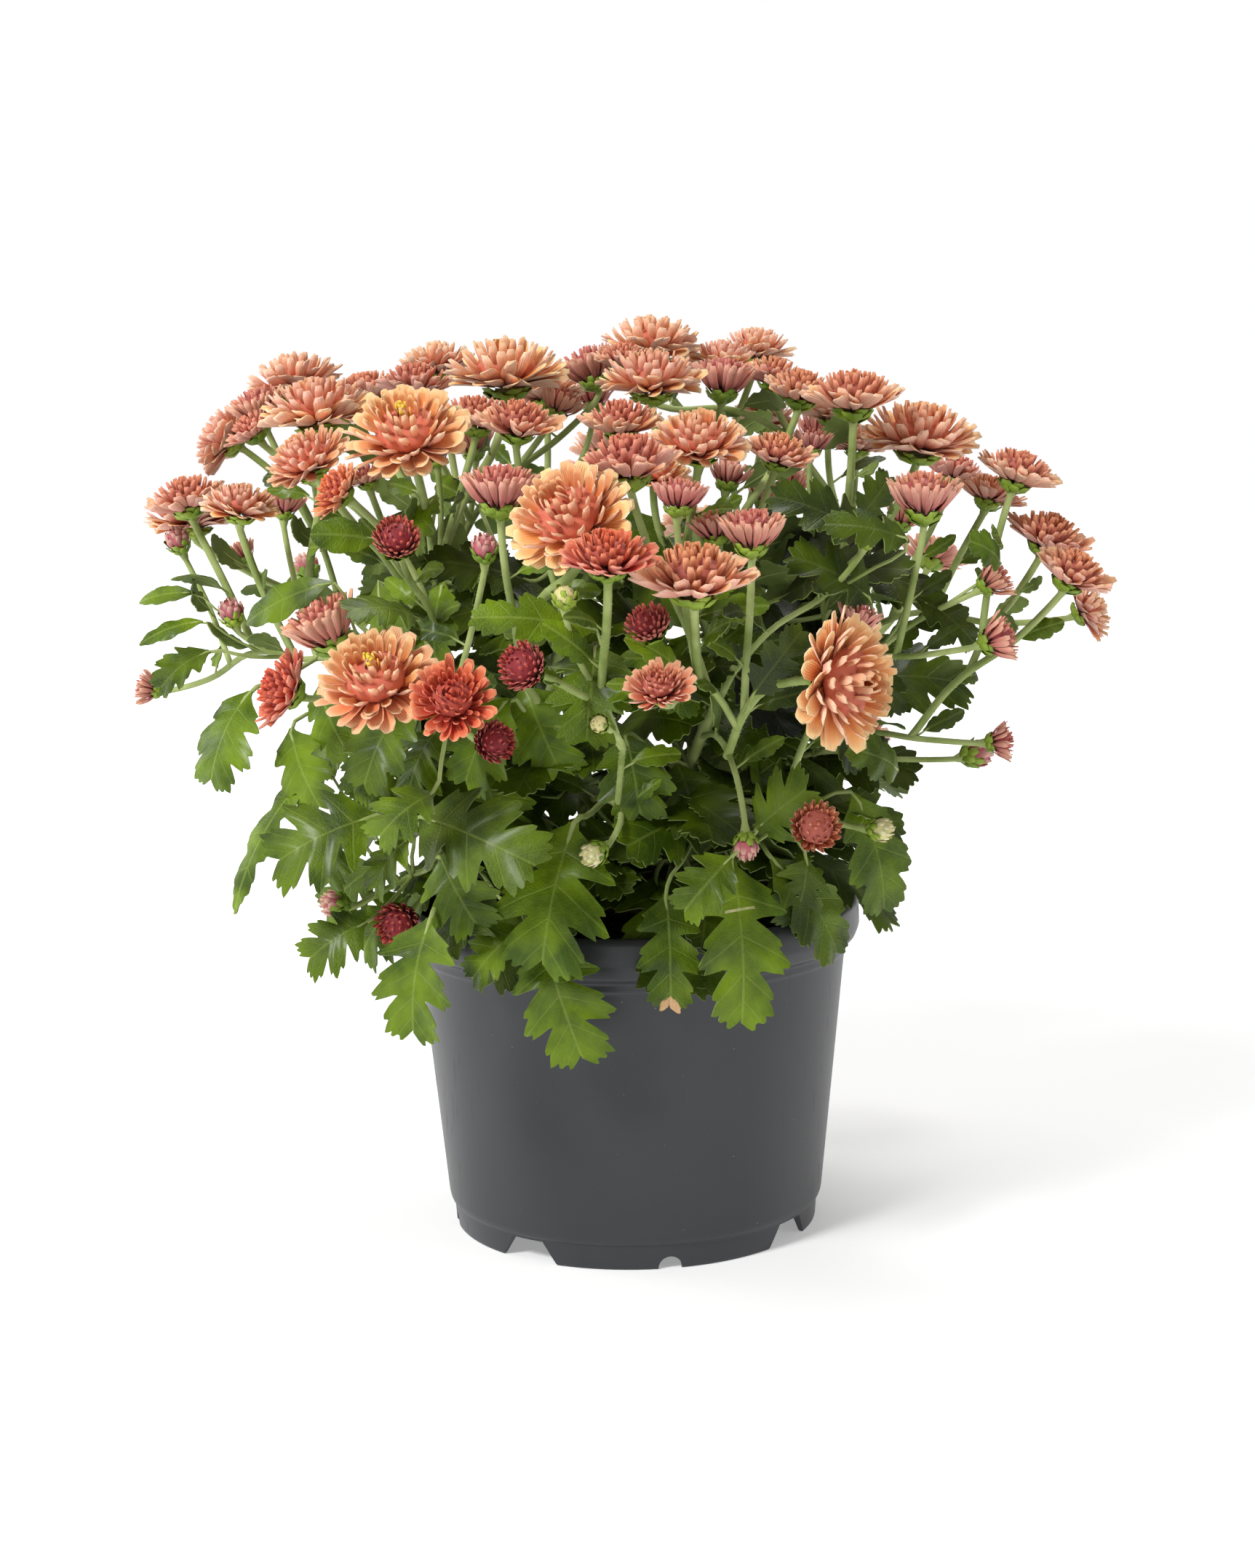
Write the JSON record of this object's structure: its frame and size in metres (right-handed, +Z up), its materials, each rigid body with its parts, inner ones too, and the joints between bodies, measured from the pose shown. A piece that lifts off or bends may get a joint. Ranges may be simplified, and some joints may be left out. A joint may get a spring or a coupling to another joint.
{
  "type": "potted chrysanthemum",
  "caption": "Bushy chrysanthemum in full flower, with lobed leaves and layered heads, in a round tapered nursery pot on a stepped foot.",
  "frame": {"origin": "on the floor under the middle of the pot", "axes": "+Z up along the pot's axis, -Y towards the front of the plant, +X to its right as seen from the front"},
  "size_m": [0.4014, 0.4243, 0.3765],
  "materials": {
    "pot_plastic": "satin",
    "compost": "rough",
    "foliage": "satin",
    "petals_open": "matte",
    "petals_young": "matte",
    "petals_mauve": "matte"
  },
  "bodies": {
    "root": {"bloom_01": "petals_open", "bloom_02": "petals_open", "bloom_03": "petals_open", "bloom_04": "petals_open", "bloom_05": "petals_open", "bloom_06": "petals_open", "bloom_07": "petals_open", "bloom_08": "petals_open", "bloom_09": "petals_open", "bloom_10": "petals_young", "bloom_11": "petals_open", "bloom_12": "petals_open", "bloom_13": "petals_open", "bloom_14": "petals_open", "bloom_15": "petals_open", "bloom_16": "petals_young", "bloom_17": "petals_open", "bloom_18": "petals_young", "bloom_19": "petals_open", "bloom_20": "petals_open", "bloom_21": "petals_open", "bloom_22": "petals_open", "bloom_23": "petals_open", "bloom_24": "petals_young", "bloom_25": "petals_young", "bloom_26": "petals_young", "bloom_27": "petals_young", "bloom_28": "petals_young", "bloom_29": "petals_open", "bloom_30": "petals_young", "bloom_31": "petals_young", "bloom_32": "petals_young", "bloom_33": "petals_open", "bloom_34": "petals_open", "bloom_35": "petals_young", "bloom_36": "petals_young", "bloom_37": "petals_young", "bloom_38": "petals_young", "bloom_39": "petals_young", "bloom_40": "petals_young", "bloom_41": "petals_young", "bloom_42": "petals_open", "bloom_43": "petals_open", "bloom_44": "petals_mauve", "bloom_45": "petals_young", "bloom_46": "petals_young", "bloom_47": "petals_young", "bloom_48": "petals_mauve", "bloom_49": "petals_mauve", "bloom_50": "petals_open", "leafy_stem_1": "foliage", "leafy_stem_2": "foliage", "leafy_stem_3": "foliage", "leafy_stem_4": "foliage", "pot": "pot_plastic", "soil": "compost"}
  },
  "joints": []
}
